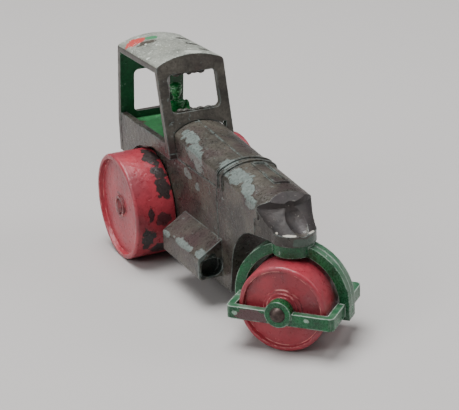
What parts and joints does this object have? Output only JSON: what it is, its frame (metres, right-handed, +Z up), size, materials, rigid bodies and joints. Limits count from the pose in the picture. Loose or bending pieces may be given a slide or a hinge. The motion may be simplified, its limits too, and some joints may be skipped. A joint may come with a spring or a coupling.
{
  "type": "toy road roller",
  "caption": "Worn die-cast toy road roller with an arched cab, a seated driver and a split swivelling fork that holds the front roller.",
  "frame": {"origin": "on the ground, midway between the tow lug's end and the foremost corner of the turned fork", "axes": "+Z up, the roller heads along -Y, +X is its left side"},
  "size_m": [0.0268, 0.0758, 0.0404],
  "materials": {
    "dark_overpaint": "worn semi-gloss dark grey-brown paint, chipped to bare grey metal",
    "green_paint": "worn gloss mid-green enamel",
    "red_paint": "satin red enamel with dark smears",
    "dull_steel": "tarnished dark steel"
  },
  "bodies": {
    "chassis": {"body": "dark_overpaint", "canopy": "dark_overpaint", "canopy_rivets": "dark_overpaint", "driver": "green_paint", "king_pin": "dull_steel", "rear_axle": "red_paint"},
    "fork": {"fork_half_right": "green_paint", "fork_half_left": "green_paint", "front_axle": "dull_steel"},
    "front_roll": {"front_roller": "red_paint"},
    "rear_roll_right": {"rear_roller_right": "red_paint"},
    "rear_roll_left": {"rear_roller_left": "red_paint"}
  },
  "joints": [
    {"name": "steering", "type": "hinge", "parent": "chassis", "child": "fork", "pos_m": [0, -0.02609, 0.018], "axis": [0, 0, 1], "continuous": true},
    {"name": "front_roll_spin", "type": "hinge", "parent": "fork", "child": "front_roll", "pos_m": [0, -0.02609, 0.00765], "axis": [0.7431, 0.6691, 0], "continuous": true},
    {"name": "rear_roll_right_spin", "type": "hinge", "parent": "chassis", "child": "rear_roll_right", "pos_m": [0, 0.02142, 0.01035], "axis": [1, 0, 0], "continuous": true},
    {"name": "rear_roll_left_spin", "type": "hinge", "parent": "chassis", "child": "rear_roll_left", "pos_m": [0, 0.02142, 0.01035], "axis": [1, 0, 0], "continuous": true}
  ]
}
